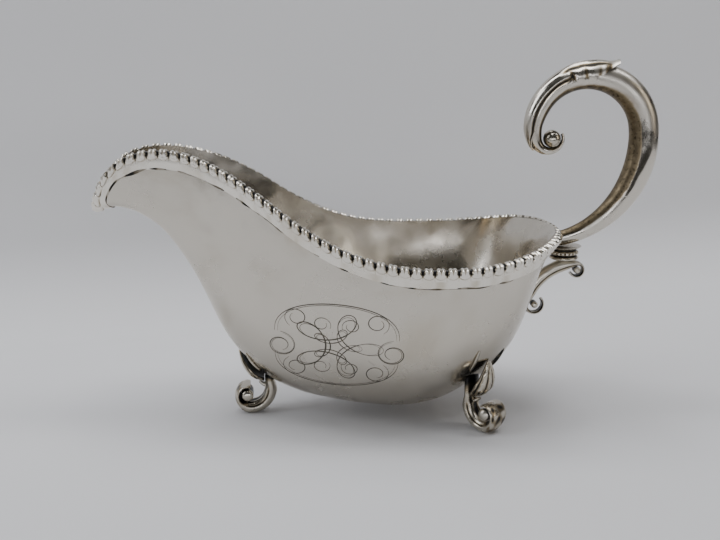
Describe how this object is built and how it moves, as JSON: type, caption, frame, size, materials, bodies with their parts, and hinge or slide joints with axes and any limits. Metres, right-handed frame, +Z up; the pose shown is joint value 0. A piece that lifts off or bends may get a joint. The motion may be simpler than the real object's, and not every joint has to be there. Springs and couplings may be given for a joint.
{
  "type": "sauce boat",
  "caption": "Footed silver sauce boat with a high pouring lip, a lobed border, a hollow scroll handle on a small bracket and scroll feet.",
  "frame": {"origin": "on the table, at the middle of the overall box in plan", "axes": "+X from the lip towards the handle, +Y across the bowl, +Z up"},
  "size_m": [0.1986, 0.0882, 0.1264],
  "materials": {
    "raised_silver": "worn satin polish, lightly tarnished",
    "rolled_silver": "worn polish, dark oxide between the lobes",
    "handle_silver": "polished, with brown tarnish on the inner side",
    "cast_silver": "cast and polished, oxidised in the recesses"
  },
  "bodies": {
    "root": {"bowl": "raised_silver", "rim_border_left": "rolled_silver", "rim_border_right": "rolled_silver", "handle_half_left": "handle_silver", "handle_half_right": "handle_silver", "handle_leaf": "cast_silver", "handle_ball": "cast_silver", "handle_collar": "cast_silver", "bracket_scroll": "cast_silver", "bracket_eye_upper": "cast_silver", "bracket_eye_lower": "cast_silver", "front_foot_leg": "cast_silver", "front_foot_leaf": "cast_silver", "front_foot_eye": "cast_silver", "back_left_foot_leg": "cast_silver", "back_left_foot_leaf": "cast_silver", "back_left_foot_eye": "cast_silver", "back_right_foot_leg": "cast_silver", "back_right_foot_leaf": "cast_silver", "back_right_foot_eye": "cast_silver"}
  },
  "joints": []
}
